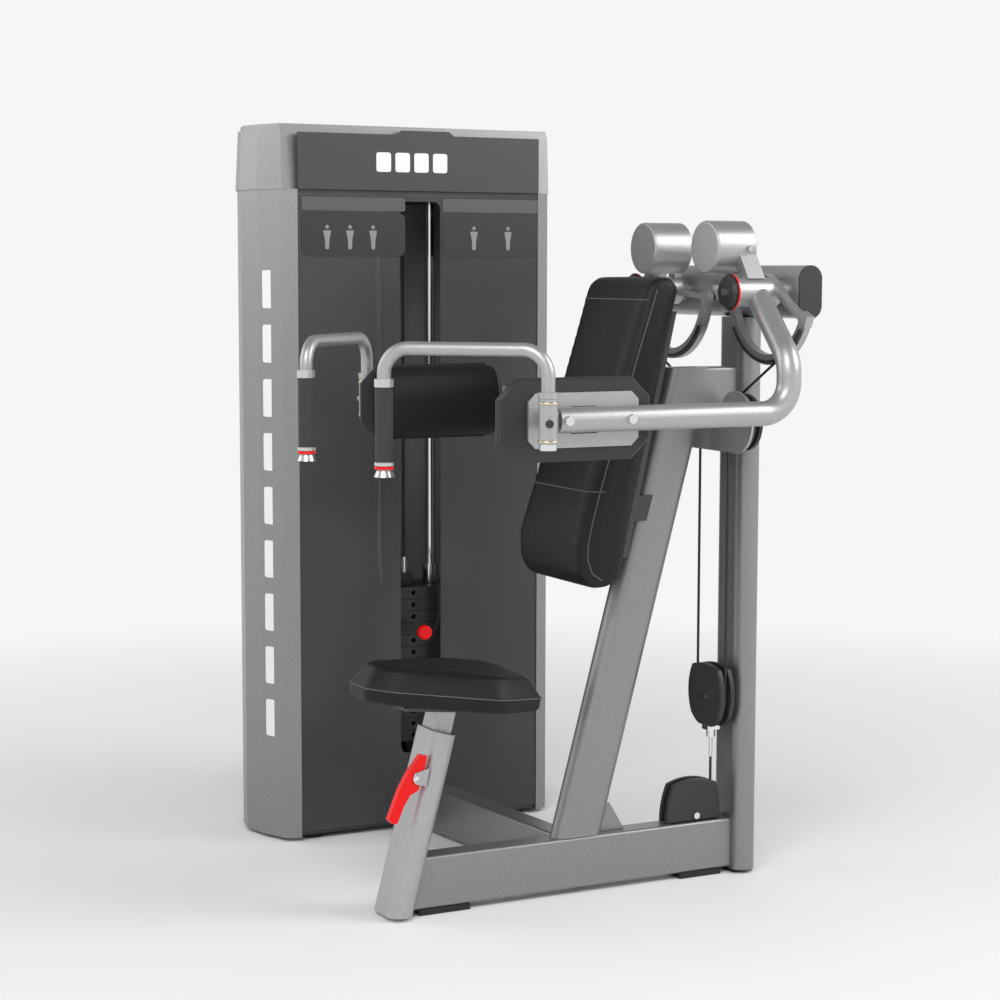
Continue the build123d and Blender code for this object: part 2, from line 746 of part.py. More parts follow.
# ---------------------------------------------------------------- arms (left side, +X)
def cam():
    y0 = CAM_Y - CAM_T / 2
    y1 = CAM_Y + CAM_T / 2
    full = ring((HUB_X, y0, HUB_Z), (HUB_X, y1, HUB_Z), CAM_R - 14, CAM_R + 6)
    leave = [on_circle(HUB_X, HUB_Z, 3 * CAM_R, a) for a in (-24, 12, 60, 100, 140, 180)]
    rim = full - xz([(HUB_X, HUB_Z)] + leave, y0 - 1, y1 + 1)
    rim = rim - ring((HUB_X, DROP_Y - 5, HUB_Z), (HUB_X, DROP_Y + 5, HUB_Z), CAM_R - CABLE_R - 0.3, CAM_R + 8)
    spoke = box(HUB_R - 4, CAM_R - 10, y0, y1, -5, 5)
    webs = Pos(HUB_X, 0, HUB_Z) * Rot(0, 174, 0) * spoke + cam_arm(y0, y1)
    anchor = box(CAM_R - 16, CAM_R + 8, y0, y1, -8, 14)
    anchor = Pos(HUB_X, 0, HUB_Z) * Rot(0, 24, 0) * anchor
    hub = rod((HUB_X, 190, HUB_Z), (HUB_X, y1, HUB_Z), HUB_R)
    body = rim + webs + anchor + hub
    return body - rod((HUB_X, 189, HUB_Z), (HUB_X, y1 + 1, HUB_Z), SHAFT_R + RUN_FIT)


def cam_arm(y0, y1):
    """Curved bar from the top of the hub down to the cable anchor."""
    upper = Spline((158, 0, 1190), (190, 0, 1179), (227, 0, 1149), (254, 0, 1131), (291, 0, 1112))
    lower = Spline((287, 0, 1101), (250, 0, 1121), (221, 0, 1138), (186, 0, 1167), (158, 0, 1180))
    ends = (Line(upper @ 1, lower @ 0), Line(lower @ 1, upper @ 0))
    face = make_face(Wire([upper, ends[0], lower, ends[1]]))
    return Pos(0, y0, 0) * extrude(face, y1 - y0, dir=(0, 1, 0))


def hub_cap():
    pale = rod((HUB_X, 188, HUB_Z), (HUB_X, 190, HUB_Z), 33)
    red = rod((HUB_X, 184.5, HUB_Z), (HUB_X, 188, HUB_Z), 34)
    dome = Plane(origin=(HUB_X, 184.5, HUB_Z), z_dir=(0, -1, 0)) * extrude(RegularPolygon(32, 12), 9)
    dome = chamfer(dome.faces().sort_by(Axis.Y)[0].edges(), 5)
    head = bolt((HUB_X, 175.5, HUB_Z), (0, -1, 0), 8, 5, 5, 0.01)
    return group(pale, red, dome, head)


def counterweight():
    drum = rod((WEIGHT_X, 167, WEIGHT_Z), (WEIGHT_X, 253, WEIGHT_Z), 50)
    drum = fillet(drum.edges(), 4)
    strap = xz([(146, 1204), (162, 1226), (192, 1182), (174, 1176)], 215, 252)
    hub = rod((HUB_X, 180, HUB_Z), (HUB_X, 300, HUB_Z), HUB_R)
    strap = strap - hub - rod((WEIGHT_X, 150, WEIGHT_Z), (WEIGHT_X, 260, WEIGHT_Z), 50)
    head = bolt((163.6, 235, WEIGHT_Z - 3), (1, 0, 0), 6, 5, 4, 0.01)
    return group(drum, strap, head)


def arm_tube():
    points = [
        (HUB_X + 8, 243, HUB_Z - 8),
        (ARM_X, 215, 1035),
        (ARM_X, 215, ARM_Z),
        (ARM_X, ARM_END, ARM_Z),
    ]
    tube = tube_along(points, 55, ARM_R, ARM_R - WALL)
    hub = rod((HUB_X, 180, HUB_Z), (HUB_X, 300, HUB_Z), HUB_R)
    cap = rod((ARM_X, ARM_END, ARM_Z), (ARM_X, ARM_END - 4, ARM_Z), ARM_R)
    lug = box(0, 72, -7, 7, ARM_Z - 16, ARM_Z + 16)
    lug = Pos(ARM_X, ARM_END - 2, 0) * Rot(0, 0, -42) * lug
    sleeve_bore = rod((SLEEVE_X, SLEEVE_Y, 850), (SLEEVE_X, SLEEVE_Y, 1000), HANDLE_R + RUN_FIT)
    sleeve = rod((SLEEVE_X, SLEEVE_Y, 905), (SLEEVE_X, SLEEVE_Y, 981), 16)
    steel = tube - hub + cap + lug + sleeve - sleeve_bore
    plug = rod((SLEEVE_X + 15, SLEEVE_Y - 6, ARM_Z), (SLEEVE_X + 21, SLEEVE_Y - 8, ARM_Z), 7)
    return steel + plug - sleeve_bore


def handle_tube():
    points = [
        (SLEEVE_X, SLEEVE_Y, 905),
        (SLEEVE_X, SLEEVE_Y, HANDLE_TOP),
        (GRIP_X, GRIP_Y, HANDLE_TOP),
        (GRIP_X, GRIP_Y, 852),
    ]
    tube = tube_along(points, 45, HANDLE_R)
    nut = rod((SLEEVE_X, SLEEVE_Y, 894), (SLEEVE_X, SLEEVE_Y, 904.5), 15)
    core = rod((SLEEVE_X, SLEEVE_Y, 904), (SLEEVE_X, SLEEVE_Y, 906), HANDLE_R)
    rest = ring((SLEEVE_X, SLEEVE_Y, 981.5), (SLEEVE_X, SLEEVE_Y, 992), HANDLE_R - 1, 17)
    return tube + nut + core + rest


def handle_grip():
    sleeve = ring((GRIP_X, GRIP_Y, 867), (GRIP_X, GRIP_Y, 995), HANDLE_R, 15.5)
    top = ring((GRIP_X, GRIP_Y, 996), (GRIP_X, GRIP_Y, 1010), HANDLE_R, 17)
    low = ring((GRIP_X, GRIP_Y, 860), (GRIP_X, GRIP_Y, 866), HANDLE_R, 17)
    red = ring((GRIP_X, GRIP_Y, 854), (GRIP_X, GRIP_Y, 859), HANDLE_R, 17)
    flare = Plane(origin=(GRIP_X, GRIP_Y, 851.5), z_dir=(0, 0, -1)) * extrude(Circle(13.5), 11, taper=-22)
    return group(sleeve, top, low, red, flare)


def octagon_points(y0, y1, z0, z1, cut):
    return [
        (y0 + cut, z0),
        (y1 - cut, z0),
        (y1, z0 + cut),
        (y1, z1 - cut),
        (y1 - cut, z1),
        (y0 + cut, z1),
        (y0, z1 - cut),
        (y0, z0 + cut),
    ]


def pad_plate():
    face = ARM_X - ARM_R
    plate = yz(octagon_points(-305, -86.5, 890, 986, 14), face - 6, face - GAP / 10)
    plate = plate - yz(octagon_points(-244, -148, 914, 962, 23), face - 8, face + 2)
    bolts = []
    for y in (-251, -126):
        bolts.append(bolt((ARM_X + ARM_R + 0.2, y, ARM_Z), (1, 0, 0), 9, 6, 5, 0.01))
    return group(plate, *bolts)


def pad_tray():
    face = ARM_X - ARM_R - 6
    tray = yz(octagon_points(-361, -58, 865, 1012, 36), face - 10, face - GAP / 10)
    return chamfer(tray.faces().sort_by(Axis.X)[-1].edges(), 5)


def arm_pad():
    face = ARM_X - ARM_R - 16 - SOFT_GAP
    outline = [
        (0, -72),
        (0, 72),
        (-12, 73),
        (-30, 62),
        (-45, 44),
        (-54, 18),
        (-54, -18),
        (-45, -44),
        (-30, -62),
        (-12, -73),
    ]
    return xz([(face + x, 938 + z) for x, z in outline], -330, -72)


# ---------------------------------------------------------------- seat
def seat_plane():
    return Plane(origin=(0, -334, SEAT_Z), x_dir=(1, 0, 0), z_dir=(0, math.tan(math.radians(PAD_TILT)), 1))


def seat_tube():
    body = leaning_plane(POST_Y, 8, POST_SLOPE) * (Pos(0, 0, 270) * Box(55, 34, 300))
    inner = leaning_plane(POST_Y, 8, POST_SLOPE) * (Pos(0, 0, 270) * Box(55 - 2 * WALL, 34 - 2 * WALL, 400))
    above = seat_plane() * (Pos(0, 0, 200) * Box(600, 600, 400))
    plate = seat_plane() * (Pos(0, 10, -3 - SOFT_GAP) * Box(150, 220, 6))
    tube = body - inner - seat_plane() * (Pos(0, 0, 200 - 6) * Box(600, 600, 400))
    return tube + plate - above


def seat_outline(inset):
    half = [
        (42 - inset * 0.6, -166 + inset),
        (76 - inset * 0.8, -128 + inset * 0.6),
        (141 - inset, 50),
        (141 - inset, 72),
        (106 - inset * 0.8, 166 - inset),
    ]
    return half + [(-x, y) for x, y in reversed(half)]


def seat_pad():
    plane = seat_plane()
    lower = make_face(Polyline(*[(x, y, 0) for x, y in seat_outline(6)], close=True))
    middle = make_face(Polyline(*[(x, y, 0) for x, y in seat_outline(0)], close=True))
    upper = make_face(Polyline(*[(x, y, 0) for x, y in seat_outline(30)], close=True))
    skirt = loft([lower, Pos(0, 0, 28) * middle])
    crown = loft([Pos(0, 0, 28) * middle, Pos(0, 0, 69) * upper])
    return plane * (skirt + crown)


def seat_lever():
    outline = [
        (-391, 312),
        (-418, 278),
        (-434, 250),
        (-456, 196),
        (-446, 187),
        (-438, 189),
        (-425, 219),
        (-412, 239),
        (-401, 243),
        (-395, 248),
        (-390, 264),
        (-383, 286),
        (-378, 309),
    ]
    lever = yz(outline, 36.2, 49.8)
    lever = fillet(lever.edges().filter_by(Axis.X).sort_by(Axis.Z)[0:2], 3)
    return lever - rod((30, -401, 270), (60, -401, 270), 4 + RUN_FIT)


def build():
    put(tower_base(), "tower_base")
    put(tower_columns(), "tower_columns")
    put(tower_cap(), "tower_cap")
    put(nameplate(), "nameplate")
    put(side_shield(), "side_shield")
    put(back_shield(), "back_shield")
    put(guide_rods(), "guide_rods")
    put(lower_plates(), "lower_plates")
    put(rod_plate(), "sheave_brackets")
    put(stack_head(), "stack_head")
    put(selector_pin(), "selector_pin")
    put(pin_lanyard(), "pin_lanyard")
    put(base_rail(), "base_rail")
    put(cross_member(), "cross_member")
    put(floor_feet(), "floor_feet")
    put(group(seat_post(), lever_pin()), "seat_post")
    put(leaning_column(), "leaning_column")
    put(upper_beam(), "upper_beam")
    put(rear_column(), "rear_column")
    put(crossbar(), "crossbar")
    put(guide_pulley_plate(), "guide_pulley_plate")
    put(pulley_housing(), "pulley_housing")
    put(group(back_bracket(), back_board()), "back_bracket")
    put(back_pad_solid(), "back_pad")
    put(group(upper_run(), mirrored(upper_run())), "upper_cables")
    put(low_cable(), "low_cable")
    put(stack_rope(), "stack_rope")
    put(block_rope(), "block_rope")
    put(guide_ropes(), "guide_ropes")
    put(floating_block(), "floating_block")
    put(wheel_at((0, DROP_Y, BLOCK_Z), (0, 1, 0), DROP_X, 12, 6 + RUN_FIT), "floating_sheave")
    for side, name in ((1, "left"), (-1, "right")):
        wheel = wheel_at((side * GUIDE_X, DROP_Y, GUIDE_Z), (0, 1, 0), GUIDE_R, 22, 6 + RUN_FIT)
        put(wheel, name + "_guide_sheave")
    put(wheel_at((0, 223, RAIL_SHEAVE_Z), (1, 0, 0), RAIL_SHEAVE_R, 12, 6 + RUN_FIT), "rail_sheave")
    turn = wheel_at((-TURN_R, cable_turn_y(), RAIL_CABLE_Z), (0, 0, 1), TURN_R, 12, 6)
    put(turn, "turning_sheave")
    for name, wheel in (("tower_low_sheave", low_wheel()), ("tower_top_sheave", top_wheel())):
        put(heading_plane(*wheel) * sheave(TOWER_SHEAVE_R, 14, 6 + RUN_FIT), name)
    pieces = (
        (cam(), "cam"),
        (hub_cap(), "hub_cap"),
        (counterweight(), "counterweight"),
        (arm_tube(), "arm_tube"),
        (handle_tube(), "handle_tube"),
        (handle_grip(), "handle_grip"),
        (pad_plate(), "pad_plate"),
        (pad_tray(), "pad_tray"),
        (arm_pad(), "arm_pad"),
        (cam_cable(), "cam_cable"),
    )
    for piece, name in pieces:
        put(piece, "left_" + name)
        put(mirrored(piece), "right_" + name)
    put(seat_tube(), "seat_tube")
    put(seat_pad(), "seat_pad")
    put(seat_lever(), "seat_lever")


build()
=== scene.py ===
import math
import bmesh
import bpy
from mathutils import Matrix, Vector


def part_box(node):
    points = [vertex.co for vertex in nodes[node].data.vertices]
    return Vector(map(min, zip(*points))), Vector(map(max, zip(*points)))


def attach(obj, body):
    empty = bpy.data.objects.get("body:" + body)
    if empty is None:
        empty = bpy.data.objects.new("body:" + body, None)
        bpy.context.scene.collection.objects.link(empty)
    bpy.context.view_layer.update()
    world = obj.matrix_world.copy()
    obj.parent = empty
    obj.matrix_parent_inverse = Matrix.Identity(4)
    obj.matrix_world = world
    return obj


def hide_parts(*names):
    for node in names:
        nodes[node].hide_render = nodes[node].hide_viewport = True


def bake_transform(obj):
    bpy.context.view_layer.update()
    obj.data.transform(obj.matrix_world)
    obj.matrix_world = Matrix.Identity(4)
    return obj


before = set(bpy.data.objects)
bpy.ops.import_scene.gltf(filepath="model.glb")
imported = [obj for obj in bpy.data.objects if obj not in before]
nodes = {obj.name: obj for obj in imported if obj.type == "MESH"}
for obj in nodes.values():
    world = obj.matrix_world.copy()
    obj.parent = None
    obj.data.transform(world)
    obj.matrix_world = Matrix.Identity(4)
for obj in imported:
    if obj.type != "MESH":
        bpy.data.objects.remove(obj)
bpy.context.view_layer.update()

MM = 0.001
SHIFT = Vector((0.2215, 0.0933, 0.0))
SEAM_R = 0.0011


def at(x, y, z):
    """A point in mm from the user unit's mid-plane, as a point of the row frame in metres."""
    return Vector((x, y, z)) * MM + SHIFT


# ------------------------------------------------------------------ materials
def material(name, color, rough, metal=0.0, specular=0.5):
    made = bpy.data.materials.new(name)
    made.use_nodes = True
    bsdf = made.node_tree.nodes["Principled BSDF"]
    bsdf.inputs["Base Color"].default_value = (*color, 1)
    bsdf.inputs["Roughness"].default_value = rough
    bsdf.inputs["Metallic"].default_value = metal
    bsdf.inputs["Coat Weight"].default_value = 0.0
    bsdf.inputs["Specular IOR Level"].default_value = specular
    return made


def add_noise(made, scale, low, high):
    """Varies the roughness between low and high by a fine noise."""
    tree = made.node_tree
    place = tree.nodes.new("ShaderNodeTexCoord")
    noise = tree.nodes.new("ShaderNodeTexNoise")
    noise.inputs["Scale"].default_value = scale
    noise.inputs["Detail"].default_value = 4.0
    spread = tree.nodes.new("ShaderNodeMapRange")
    spread.inputs["To Min"].default_value = low
    spread.inputs["To Max"].default_value = high
    tree.links.new(place.outputs["Object"], noise.inputs["Vector"])
    tree.links.new(noise.outputs["Fac"], spread.inputs["Value"])
    tree.links.new(spread.outputs["Result"], tree.nodes["Principled BSDF"].inputs["Roughness"])


def add_bump(made, scale, distance, strength, kind="noise"):
    """Fine surface relief: a noise, or small cells like a leather's grain."""
    tree = made.node_tree
    place = tree.nodes.new("ShaderNodeTexCoord")
    if kind == "cells":
        texture = tree.nodes.new("ShaderNodeTexVoronoi")
        out = texture.outputs["Distance"]
    else:
        texture = tree.nodes.new("ShaderNodeTexNoise")
        texture.inputs["Detail"].default_value = 6
        out = texture.outputs["Fac"]
    texture.inputs["Scale"].default_value = scale
    bump = tree.nodes.new("ShaderNodeBump")
    bump.inputs["Distance"].default_value = distance
    bump.inputs["Strength"].default_value = strength
    tree.links.new(place.outputs["Object"], texture.inputs["Vector"])
    tree.links.new(out, bump.inputs["Height"])
    tree.links.new(bump.outputs["Normal"], tree.nodes["Principled BSDF"].inputs["Normal"])


def add_flakes(made, scale, dark, light):
    """Metallic paint: small cells of slightly different brightness."""
    tree = made.node_tree
    place = tree.nodes.new("ShaderNodeTexCoord")
    cells = tree.nodes.new("ShaderNodeTexVoronoi")
    cells.inputs["Scale"].default_value = scale
    ramp = tree.nodes.new("ShaderNodeValToRGB")
    ramp.color_ramp.elements[0].color = (*dark, 1)
    ramp.color_ramp.elements[1].color = (*light, 1)
    tree.links.new(place.outputs["Object"], cells.inputs["Vector"])
    tree.links.new(cells.outputs["Color"], ramp.inputs["Fac"])
    tree.links.new(ramp.outputs["Color"], tree.nodes["Principled BSDF"].inputs["Base Color"])


def powder_coat(name, level):
    made = material(name, (level, level, level), 0.38, 0.75)
    dark = (level * 0.82, level * 0.83, level * 0.845)
    light = (level * 1.22, level * 1.23, level * 1.255)
    add_flakes(made, 900, dark, light)
    add_bump(made, 900, 0.0002, 0.25)
    return made


def leather():
    made = material("leather", (0.0055, 0.0055, 0.006), 0.5, specular=0.3)
    add_noise(made, 60, 0.42, 0.56)
    add_bump(made, 900, 0.0004, 0.35, "cells")
    return made


def smoked_plastic(name, color, alpha):
    made = material(name, color, 0.22, specular=0.3)
    made.node_tree.nodes["Principled BSDF"].inputs["Alpha"].default_value = alpha
    return made


def textured(name, color, low, high, scale, bump_scale, bump):
    made = material(name, color, (low + high) / 2)
    add_noise(made, scale, low, high)
    add_bump(made, bump_scale, bump, 0.3)
    return made


COAT = powder_coat("powder_coat", 0.27)
LIGHT_COAT = powder_coat("light_powder_coat", 0.42)
LEATHER = leather()
SMOKED = smoked_plastic("smoked_plastic", (0.075, 0.075, 0.078), 0.72)
REAR_SHEET = smoked_plastic("rear_sheet", (0.34, 0.34, 0.345), 1.0)
DARK = textured("dark_coat", (0.045, 0.045, 0.048), 0.38, 0.5, 40, 700, 0.0002)
MOULDING = textured("moulding", (0.022, 0.022, 0.024), 0.42, 0.55, 60, 800, 0.0003)
GRIP = textured("grip", (0.03, 0.03, 0.032), 0.6, 0.75, 90, 500, 0.0006)
FOOT = textured("foot_rubber", (0.015, 0.015, 0.015), 0.7, 0.85, 80, 300, 0.0005)
ENAMEL = textured("enamel", (0.02, 0.02, 0.022), 0.3, 0.42, 50, 400, 0.0003)
CABLE = textured("cable_jacket", (0.012, 0.012, 0.013), 0.35, 0.5, 200, 900, 0.0002)
NYLON = textured("nylon", (0.018, 0.018, 0.02), 0.4, 0.52, 70, 500, 0.0002)
CHROME = material("chrome", (0.78, 0.78, 0.8), 0.13, 1.0)
add_noise(CHROME, 120, 0.09, 0.17)
RED = material("red_gloss", (0.8, 0.004, 0.004), 0.3, specular=0.25)
add_noise(RED, 80, 0.2, 0.3)
THREAD = textured("thread", (0.1, 0.1, 0.1), 0.7, 0.85, 300, 2000, 0.0001)
WHITE = textured("print_white", (0.8, 0.8, 0.8), 0.45, 0.55, 60, 900, 0.00005)
GREY_PRINT = textured("print_grey", (0.25, 0.25, 0.25), 0.45, 0.55, 60, 900, 0.00005)
# Dark grey strip that is painted shadow along the top of the shield, below the nameplate.
SHADOW_STRIP = textured("painted_shadow_strip", (0.085, 0.085, 0.085), 0.45, 0.55, 60, 900, 0.00005)
STEEL = material("satin_steel", (0.62, 0.61, 0.6), 0.32, 1.0)
add_noise(STEEL, 90, 0.28, 0.36)
BRASS = material("brass", (0.72, 0.62, 0.42), 0.25, 1.0)
add_noise(BRASS, 90, 0.2, 0.32)


def paint(name, base, *rules):
    """Gives a CAD node its materials: each rule is a material and a test of a face's middle."""
    mesh = nodes[name].data
    mesh.materials.clear()
    mesh.materials.append(base)
    for made, _ in rules:
        mesh.materials.append(made)
    for face in mesh.polygons:
        middle = (face.center - SHIFT) / MM
        face.material_index = 0
        for i, (_, test) in enumerate(rules):
            if test(middle):
                face.material_index = i + 1


STACK_X = -666
STACK_Y = -102
ROD_SPREAD = 63
PIN_Z = 428


def is_buffer(p):
    """The rubber sleeves low on the guide rods."""
    off_rod = math.hypot(p.x - STACK_X, abs(p.y - STACK_Y) - ROD_SPREAD)
    return p.z < 182 and off_rod > 12


def is_bush(p):
    return 517.8 < p.z < 562 and abs(abs(p.y - STACK_Y) - ROD_SPREAD) < 18


def is_knob(p):
    return p.x > -571.5 or math.hypot(p.y - STACK_Y, p.z - PIN_Z) > 9.5


def is_lever_pin(p):
    return p.y < -396.5 and 265 < p.z < 275 and 30 < p.x < 56


def is_end_cap(p):
    return abs(p.x) > 231.5


def is_shaft(p):
    return p.y < 288.5 and abs(p.x) < 60


def is_sleeve_plug(p):
    return abs(p.x) > 401.2 and abs(p.z - 940) < 8


def is_hub_metal(p):
    return p.y < 175.3 or p.y > 188


def is_hub_ring(p):
    return 184.6 < p.y <= 188


def is_grip_rubber(p):
    return 866.5 < p.z < 995.5


def is_grip_ring(p):
    return 853.5 < p.z < 859.5


def in_block_neck(p):
    return p.z < 299.3 and abs(p.x) < 11.5 and 251 < p.y < 281


def paint_frame():
    for name in ("base_rail", "cross_member", "leaning_column", "upper_beam", "rear_column"):
        paint(name, COAT)
    paint("tower_columns", COAT)
    paint("tower_cap", COAT)
    for name in ("tower_base", "sheave_brackets", "nameplate", "back_bracket"):
        paint(name, DARK)
    paint("side_shield", SMOKED)
    paint("back_shield", REAR_SHEET)
    paint("floor_feet", FOOT)
    paint("lower_plates", ENAMEL)
    paint("guide_rods", CHROME, (FOOT, is_buffer))
    paint("seat_post", LIGHT_COAT, (CHROME, is_lever_pin))
    paint("crossbar", LIGHT_COAT, (MOULDING, is_end_cap), (CHROME, is_shaft))
    paint("guide_pulley_plate", LIGHT_COAT, (CHROME, lambda p: p.y < 248))
    paint("pulley_housing", MOULDING, (CHROME, lambda p: abs(p.x) > 17.6))
    for name in ("upper_cables", "low_cable"):
        paint(name, CABLE)


def paint_arm(side):
    for part in ("cam", "counterweight"):
        paint(side + part, LIGHT_COAT)
    paint(side + "cam_cable", CABLE)
    paint(side + "arm_tube", LIGHT_COAT, (MOULDING, is_sleeve_plug))
    paint(side + "pad_plate", LIGHT_COAT, (CHROME, lambda p: abs(p.x) > 345))
    paint(side + "pad_tray", MOULDING)
    paint(side + "hub_cap", MOULDING, (STEEL, is_hub_metal), (RED, is_hub_ring))
    paint(side + "handle_tube", LIGHT_COAT, (CHROME, lambda p: p.z < 905))
    paint(side + "handle_grip", STEEL, (GRIP, is_grip_rubber), (RED, is_grip_ring))


def paint_moving():
    paint("stack_head", ENAMEL, (MOULDING, is_bush), (CHROME, lambda p: p.z > 544))
    paint("selector_pin", CHROME, (RED, is_knob))
    paint("floating_block", MOULDING, (CHROME, in_block_neck), (CHROME, lambda p: p.y < 249))
    for name in ("floating_sheave", "left_guide_sheave", "right_guide_sheave", "rail_sheave",
                 "turning_sheave", "tower_low_sheave", "tower_top_sheave"):
        paint(name, NYLON)
    paint("seat_tube", LIGHT_COAT, (DARK, lambda p: p.z > 372))
    paint("seat_lever", RED)
    for side in ("left_", "right_"):
        paint_arm(side)


# ------------------------------------------------------------------ mesh helpers
def new_object(name, mesh, made):
    piece = bpy.data.objects.new(name, mesh)
    bpy.context.scene.collection.objects.link(piece)
    if made is not None:
        mesh.materials.append(made)
    return piece


def smooth(mesh, angle=35):
    for face in mesh.polygons:
        face.use_smooth = True
    mesh.set_sharp_from_angle(angle=math.radians(angle))


def solid(name, points, faces, made):
    mesh = bpy.data.meshes.new(name)
    mesh.from_pydata([tuple(p) for p in points], [], faces)
    mesh.validate()
    mesh.update()
    return new_object(name, mesh, made)


def prism(name, outline, low, high, made, place):
    """Closed prism: place(u, v, w) turns an outline point and a height into a point."""
    count = len(outline)
    points = [place(u, v, low) for u, v in outline] + [place(u, v, high) for u, v in outline]
    faces = [list(range(count))[::-1], list(range(count, 2 * count))]
    for i in range(count):
        j = (i + 1) % count
        faces.append([i, j, count + j, count + i])
    piece = solid(name, points, faces, made)
    recalc(piece.data)
    return piece


def recalc(mesh):
    work = bmesh.new()
    work.from_mesh(mesh)
    bmesh.ops.recalc_face_normals(work, faces=work.faces)
    work.to_mesh(mesh)
    work.free()


def apply_all(piece):
    view = bpy.context.evaluated_depsgraph_get()
    mesh = bpy.data.meshes.new_from_object(piece.evaluated_get(view))
    piece.modifiers.clear()
    old = piece.data
    piece.data = mesh
    bpy.data.meshes.remove(old)


def tube(name, points, radius, made, closed=False, sides=4):
    curve = bpy.data.curves.new(name, "CURVE")
    curve.dimensions = "3D"
    curve.bevel_depth = radius
    curve.bevel_resolution = sides
    spline = curve.splines.new("POLY")
    spline.points.add(len(points) - 1)
    for target, p in zip(spline.points, points):
        target.co = (*p, 1)
    spline.use_cyclic_u = closed
    carrier = bpy.data.objects.new(name, curve)
    bpy.context.scene.collection.objects.link(carrier)
    view = bpy.context.evaluated_depsgraph_get()
    mesh = bpy.data.meshes.new_from_object(carrier.evaluated_get(view))
    bpy.data.objects.remove(carrier)
    for face in mesh.polygons:
        face.use_smooth = True
    mesh.materials.clear()
    return new_object(name, mesh, made)


def rounded(points, radius, steps=5):
    """The closed outline with each corner turned into an arc of about this radius."""
    result = []
    count = len(points)
    for i in range(count):
        before, here, after = (Vector(points[(i + k) % count]) for k in (-1, 0, 1))
        to_before = before - here
        to_after = after - here
        trim = min(radius, 0.45 * to_before.length, 0.45 * to_after.length)
        a = here + to_before.normalized() * trim
        b = here + to_after.normalized() * trim
        for k in range(steps + 1):
            t = k / steps
            result.append(a * (1 - t) ** 2 + here * (2 * t * (1 - t)) + b * t ** 2)
    return result


# ------------------------------------------------------------------ upholstery
def stuffed(name, outline, low, high, place, edge, swell):
    """Firm pad: the outline is extruded, its edges rounded, and its faces swell a little."""
    pad = prism(name, outline, low, high, LEATHER, place)
    bevel = pad.modifiers.new("edge", "BEVEL")
    bevel.width = edge
    bevel.segments = 4
    bevel.limit_method = "ANGLE"
    bevel.angle_limit = math.radians(50)
    remesh = pad.modifiers.new("cells", "REMESH")
    remesh.mode = "VOXEL"
    remesh.voxel_size = 0.006
    soften = pad.modifiers.new("soften", "SMOOTH")
    soften.factor = 0.5
    soften.iterations = 6
    apply_all(pad)
    fill_with_air(pad, swell)
    smooth(pad.data, 180)
    return pad


def fill_with_air(pad, pressure):
    """Cloth under a low pressure, held back by the shape it started with."""
    rest = [v.co.copy() for v in pad.data.vertices]
    cloth = pad.modifiers.new("cloth", "CLOTH")
    settings = cloth.settings
    settings.quality = 4
    settings.mass = 0.3
    settings.use_pressure = True
    settings.uniform_pressure_force = pressure
    settings.tension_stiffness = 60
    settings.compression_stiffness = 60
    settings.shear_stiffness = 30
    settings.bending_stiffness = 6
    settings.effector_weights.gravity = 0
    scene = bpy.context.scene
    for number in range(1, 13):
        scene.frame_set(number)
    apply_all(pad)
    scene.frame_set(1)
    for vertex, start in zip(pad.data.vertices, rest):
        move = vertex.co - start
        if move.length > 0.004:
            vertex.co = start + move.normalized() * 0.004


def back_profile():
    low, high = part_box("back_pad")
    lean = 0.2254
    rear_low = at(0, 22 - (767 - 645) * lean, 645)
    rear_high = at(0, 22 + (1168 - 767) * lean, 1168)
    front = [(-92, 735), (-104, 692), (-104, 662), (-99, 635)]
    front += [(-84, 614), (-62, 606), (-36, 608), (-14, 620)]
    top = [(37, 1142), (47, 1169), (65, 1183), (92, 1184)]
    outline = [(at(0, y, z).y, at(0, y, z).z) for y, z in top]
    outline += [(rear_high.y, rear_high.z), (rear_low.y, rear_low.z)]
    outline += [(at(0, y, z).y, at(0, y, z).z) for y, z in reversed(front)]
    outline += [(at(0, -74.5, 788.5).y, at(0, 0, 788.5).z)]
    return outline, low.x, high.x


def back_pad():
    outline, x0, x1 = back_profile()
    pad = stuffed("back_pad_cover", outline, x0 + 0.003, x1 - 0.003,
                  lambda y, z, x: (x, y, z), 0.012, 2.0)
    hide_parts("back_pad")
    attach(pad, "frame")
    seams = []
    for y, z in ((36, 1142), (-75.5, 788.5)):
        seams.append(cross_seam(pad, y, z, x0, x1))
    for side in (-1, 1):
        seams.append(side_seam(pad, side, x0, x1))
    for n, seam in enumerate(seams):
        seam.name = "back_seam_%d" % n
        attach(seam, "frame")


def on_surface(pad, point, direction):
    """Where a ray from outside meets the pad, or None."""
    hit, place, normal, _ = pad.ray_cast(point, direction)
    return place + normal * SEAM_R * 0.2 if hit else None


def cross_seam(pad, y, z, x0, x1):
    level = at(0, y, z)
    points = []
    for i in range(41):
        x = x0 + (x1 - x0) * i / 40
        p = on_surface(pad, Vector((x, level.y - 0.2, level.z)), Vector((0, 1, 0)))
        if p is not None:
            points.append(p)
    return tube("cross_seam", points, SEAM_R, THREAD)


def side_seam(pad, side, x0, x1):
    """Seam round the side panel, a little behind the front edge."""
    x = x1 + 0.05 if side > 0 else x0 - 0.05
    line = [(60, 1160), (50, 1130), (20, 1040), (-20, 910), (-58, 790)]
    line += [(-74, 735), (-84, 690), (-84, 662), (-74, 636), (-52, 622)]
    points = []
    for y, z in line:
        p = on_surface(pad, Vector((x, at(0, y, z).y, z * MM)), Vector((-side, 0, 0)))
        if p is not None:
            points.append(p)
    return tube("side_seam", points, SEAM_R, THREAD)


SEAT_TILT = math.radians(6)
SEAT_ORIGIN = (0, -334, 397)


def seat_place(u, v, w):
    local = Vector((u, v, w))
    turned = Matrix.Rotation(-SEAT_TILT, 3, "X") @ local
    return tuple(at(*SEAT_ORIGIN) + turned * MM)


